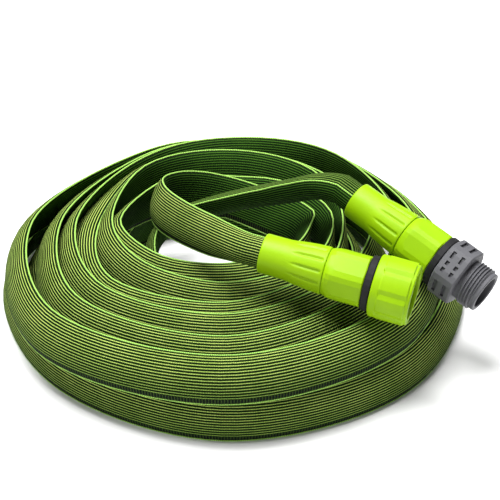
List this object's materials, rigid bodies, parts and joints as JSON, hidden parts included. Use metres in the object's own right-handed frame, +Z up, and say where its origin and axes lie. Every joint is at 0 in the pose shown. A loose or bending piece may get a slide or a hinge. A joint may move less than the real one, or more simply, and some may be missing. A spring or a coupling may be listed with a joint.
{
  "type": "soaker hose",
  "caption": "Flat woven garden soaker hose lying in a flat coil, with a swivelling tap nut at its inlet and a threaded spigot at its outlet.",
  "frame": {"origin": "on the floor under the middle of the whole object's bounding box", "axes": "+Z up from the floor, +X along the longest side, towards the side that both fittings point to, +Y towards the back of the coil, where no fitting lies"},
  "size_m": [0.2791, 0.257, 0.0917],
  "materials": {
    "woven_jacket": "dark green and black weave with thin lime ribs along it and lime piping on both edges",
    "lime_plastic": "satin lime green moulded plastic",
    "grey_plastic": "fine matte grey moulded plastic",
    "black_rubber": "matte black rubber",
    "liner_rubber": "matte black porous rubber",
    "claw_nylon": "natural white nylon"
  },
  "bodies": {
    "hose": {"hose_coil_lower": "woven_jacket", "hose_coil_upper": "woven_jacket", "inlet_hose_lead": "woven_jacket", "outlet_hose_lead": "woven_jacket", "inlet_liner_end": "liner_rubber", "inlet_jacket_end": "woven_jacket", "outlet_liner_end": "liner_rubber", "outlet_jacket_end": "woven_jacket", "inlet_hex_body": "lime_plastic", "outlet_hex_body": "lime_plastic", "inlet_rubber_ring": "black_rubber", "outlet_rubber_ring": "black_rubber", "inlet_flanged_spigot": "lime_plastic", "inlet_spigot_seal": "black_rubber", "inlet_tap_washer": "black_rubber"},
    "inlet_claw": {"inlet_grip_claw": "claw_nylon"},
    "inlet_collar": {"inlet_collar_nut": "lime_plastic"},
    "outlet_claw": {"outlet_grip_claw": "claw_nylon"},
    "outlet_collar": {"outlet_collar_nut": "lime_plastic"},
    "inlet_nut": {"inlet_swivel_nut": "lime_plastic"},
    "outlet_adapter": {"outlet_thread_adapter": "grey_plastic", "outlet_adapter_seal": "black_rubber"}
  },
  "joints": [
    {"name": "inlet_nut_swivel", "type": "hinge", "parent": "hose", "child": "inlet_nut", "pos_m": [0.07986, -0.08162, 0.06958], "axis": [0.9448, -0.3069, -0.115], "continuous": true},
    {"name": "outlet_adapter_swivel", "type": "hinge", "parent": "hose", "child": "outlet_adapter", "pos_m": [0.1196, -0.0506, 0.05763], "axis": [0.76, -0.576, -0.301], "continuous": true},
    {"name": "inlet_claw_slide", "type": "slide", "parent": "hose", "child": "inlet_claw", "axis": [-0.9448, 0.3069, 0.115], "range_m": [0, 0.006]},
    {"name": "inlet_collar_turn", "type": "hinge", "parent": "inlet_claw", "child": "inlet_collar", "pos_m": [0.02601, -0.06413, 0.07613], "axis": [-0.9448, 0.3069, 0.115], "range_deg": [0, 720]},
    {"name": "outlet_claw_slide", "type": "slide", "parent": "hose", "child": "outlet_claw", "axis": [-0.76, 0.576, 0.301], "range_m": [0, 0.006]},
    {"name": "outlet_collar_turn", "type": "hinge", "parent": "outlet_claw", "child": "outlet_collar", "pos_m": [0.07628, -0.01777, 0.07478], "axis": [-0.76, 0.576, 0.301], "range_deg": [0, 720]}
  ],
  "couplings": [
    {"joint": "inlet_claw_slide", "follows": "inlet_collar_turn", "m_per_rad": 0.000477},
    {"joint": "outlet_claw_slide", "follows": "outlet_collar_turn", "m_per_rad": 0.000477}
  ]
}
